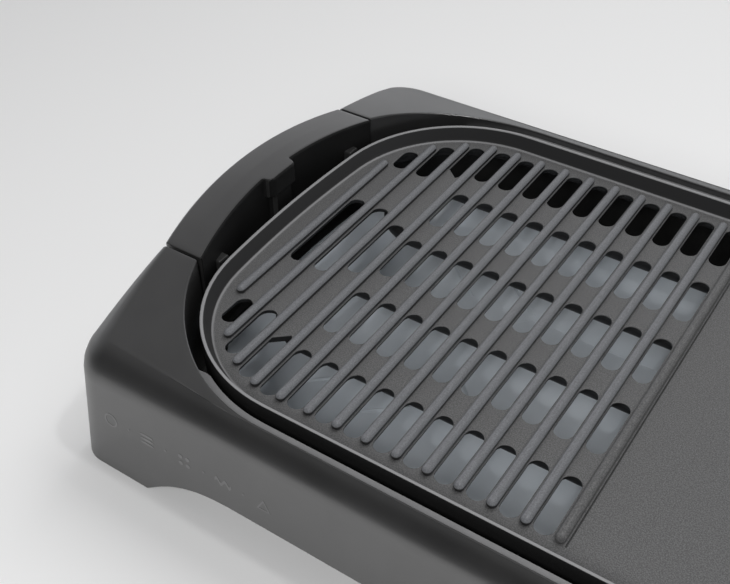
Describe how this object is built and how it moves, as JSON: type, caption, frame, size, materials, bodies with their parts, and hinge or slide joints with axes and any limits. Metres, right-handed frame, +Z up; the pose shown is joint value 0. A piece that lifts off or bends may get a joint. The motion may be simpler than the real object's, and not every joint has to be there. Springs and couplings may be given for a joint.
{
  "type": "electric table-top grill",
  "caption": "Electric table-top grill: arched black housing with a cast plate, half ribbed and half flat, over a lift-out drip tray, with end handles and a plug-in temperature control.",
  "frame": {"origin": "on the table, at the middle of the whole footprint from the front foot to the back of the plugged-in control; the housing's own middle is 31 mm in front of it", "axes": "+X to the right along the housing, from the ribbed half to the flat half, +Y to the back where the control plugs in, +Z up"},
  "size_m": [0.5192, 0.3799, 0.095],
  "materials": {
    "black_plastic": "fine matt grain, black heat-resistant plastic",
    "base_plastic": "matt black heat-resistant plastic",
    "handle_plastic": "satin black plastic",
    "rubber": "matt",
    "tray_metal": "satin light blue-grey coated sheet metal",
    "nonstick": "dark grey non-stick coat on a casting, faint bluish sheen",
    "steel": "satin",
    "ceramic": "unglazed",
    "brass": "satin",
    "control_plastic": "matt black plastic",
    "amber": "clear amber",
    "pointer": "light grey"
  },
  "bodies": {
    "housing": {"frame_cover": "black_plastic", "base_pan": "base_plastic", "left_handle": "handle_plastic", "right_handle": "handle_plastic", "handle_screws": "steel", "base_screws": "steel", "rubber_feet": "rubber"},
    "plate": {"grill_plate": "nonstick", "heating_element": "steel", "terminal_pins": "steel", "pin_insulators": "ceramic", "terminal_guard": "steel", "guard_rivets": "steel", "earth_pin": "steel"},
    "tray": {"drip_tray": "tray_metal"},
    "control": {"control_lower_shell": "control_plastic", "control_upper_shell": "control_plastic", "control_screws": "steel", "socket_block": "ceramic", "socket_contacts": "brass", "earth_contact": "brass", "probe_rod": "steel", "thermostat_body": "ceramic", "bimetal_blade": "brass", "contact_spring": "steel", "adjusting_screw": "brass", "indicator_lamp": "amber", "indicator_lens": "amber", "cord_gland": "control_plastic"},
    "dial": {"control_dial": "control_plastic", "dial_shaft": "steel", "dial_pointer": "pointer"}
  },
  "joints": [
    {"name": "plate_lift", "type": "slide", "parent": "housing", "child": "plate", "axis": [0, 0, 1], "range_m": [0, 0.12]},
    {"name": "tray_lift", "type": "slide", "parent": "housing", "child": "tray", "axis": [0, 0, 1], "range_m": [0, 0.06]},
    {"name": "control_unplug", "type": "slide", "parent": "plate", "child": "control", "axis": [0, 1, 0], "range_m": [0, 0.08]},
    {"name": "dial_turn", "type": "hinge", "parent": "control", "child": "dial", "pos_m": [0.09, 0.163, 0.0786], "axis": [0, 0, 1], "range_deg": [-270, 0]}
  ],
  "couplings": [
    {"joint": "tray_lift", "follows": "plate_lift", "ratio": 0.5}
  ]
}
